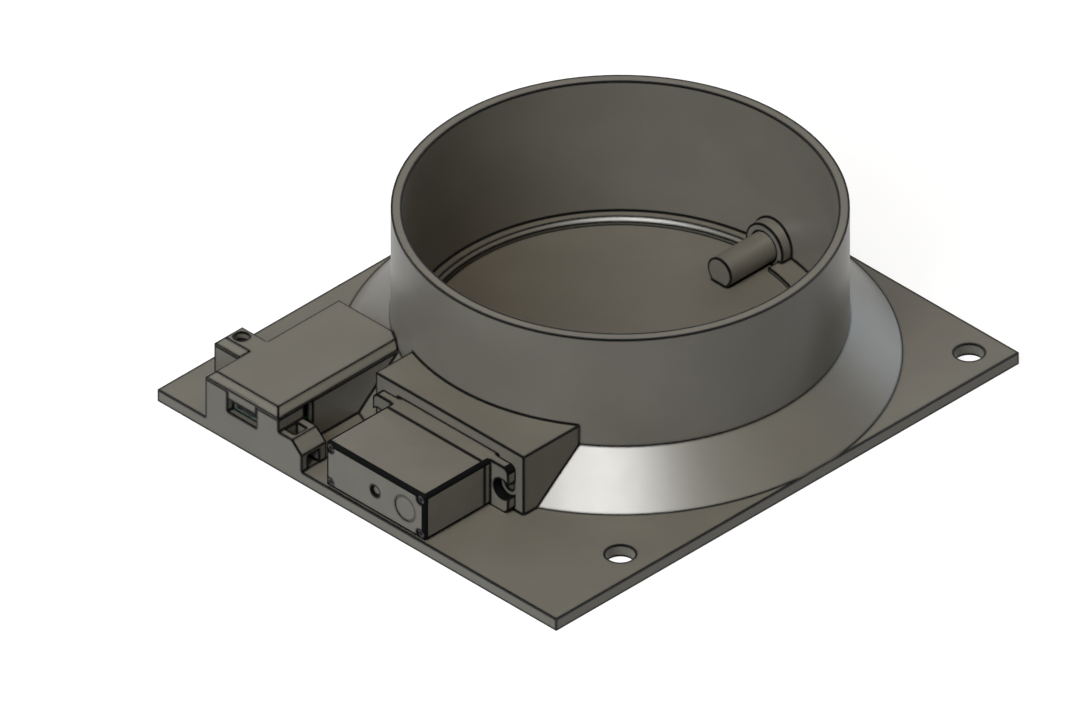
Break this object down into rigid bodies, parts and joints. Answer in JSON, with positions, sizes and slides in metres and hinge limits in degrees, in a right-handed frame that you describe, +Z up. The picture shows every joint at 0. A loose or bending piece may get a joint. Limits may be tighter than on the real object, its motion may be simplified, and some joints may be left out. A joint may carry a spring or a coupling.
{
  "type": "motorized air damper",
  "caption": "Printed duct flange for a square fan, with a butterfly flap in half seats turned by a small geared servo, and a lidded box for its controller board.",
  "frame": {"origin": "on the duct's axis at the underside of the plate, the centre of the four fan screw holes", "axes": "+Z up the duct from the plate to the collar's rim; +Y along the flap's pivot, away from the servo; +X completes a right-handed frame"},
  "size_m": [0.12, 0.1393, 0.0408],
  "materials": {
    "printed_plastic": "printed in fine layers, satin warm grey",
    "servo_plastic": "moulded, finely spark-eroded satin grey",
    "steel": "plated, satin",
    "brass": "machined",
    "acetal": "moulded, waxy white",
    "black_plastic": "moulded, matte",
    "magnet": "sintered, dull",
    "copper": "lacquered copper windings",
    "circuit_board": "solder mask over glass fibre",
    "ceramic": "fired, smooth",
    "rubber": "moulded, dull"
  },
  "bodies": {
    "housing": {"base": "printed_plastic", "lid": "printed_plastic", "servo_rear_case": "servo_plastic", "servo_mid_case": "servo_plastic", "servo_gear_cover": "servo_plastic", "servo_case_screws": "steel", "servo_lead_grommet": "rubber", "output_bushing": "brass", "idler_axle": "steel", "motor_can": "steel", "motor_magnets": "magnet", "motor_end_cap": "black_plastic", "servo_potentiometer": "black_plastic", "servo_board": "circuit_board", "controller_board": "circuit_board", "usb_socket": "steel", "microcontroller": "black_plastic", "voltage_regulator": "black_plastic", "chip_antenna": "ceramic", "board_crystal": "steel", "button_housings": "steel"},
    "flap_and_shaft": {"flap": "printed_plastic", "drive_coupler": "printed_plastic", "coupler_screw": "steel", "output_gear_shaft": "brass"},
    "third_gear": {"third_gear": "brass"},
    "second_gear": {"second_gear": "acetal"},
    "first_gear": {"first_gear": "acetal"},
    "motor_rotor": {"motor_pinion": "brass", "motor_armature": "copper"},
    "reset_key": {"reset_key": "black_plastic"},
    "boot_key": {"boot_key": "black_plastic"}
  },
  "joints": [
    {"name": "flap_turn", "type": "hinge", "parent": "housing", "child": "flap_and_shaft", "pos_m": [0, -0.05, 0.0089], "axis": [0, 1, 0], "range_deg": [0, 90]},
    {"name": "third_gear_turn", "type": "hinge", "parent": "housing", "child": "third_gear", "pos_m": [0.0057, -0.05, 0.0089], "axis": [0, 1, 0], "range_deg": [-253, 0]},
    {"name": "second_gear_turn", "type": "hinge", "parent": "housing", "child": "second_gear", "pos_m": [0, -0.05, 0.0089], "axis": [0, 1, 0], "range_deg": [0, 706]},
    {"name": "first_gear_turn", "type": "hinge", "parent": "housing", "child": "first_gear", "pos_m": [0.0057, -0.05, 0.0089], "axis": [0, 1, 0], "range_deg": [-1976, 0]},
    {"name": "motor_turn", "type": "hinge", "parent": "housing", "child": "motor_rotor", "pos_m": [0.0114, -0.05, 0.0089], "axis": [0, 1, 0], "range_deg": [0, 5532]},
    {"name": "reset_press", "type": "slide", "parent": "housing", "child": "reset_key", "axis": [0, 0, -1], "range_m": [0, 0.0002], "stiffness_N_per_m": 20},
    {"name": "boot_press", "type": "slide", "parent": "housing", "child": "boot_key", "axis": [0, 0, -1], "range_m": [0, 0.0002], "stiffness_N_per_m": 20}
  ],
  "couplings": [
    {"joint": "third_gear_turn", "follows": "flap_turn", "ratio": -2.8},
    {"joint": "second_gear_turn", "follows": "flap_turn", "ratio": 7.84},
    {"joint": "first_gear_turn", "follows": "flap_turn", "ratio": -21.952},
    {"joint": "motor_turn", "follows": "flap_turn", "ratio": 61.466}
  ]
}
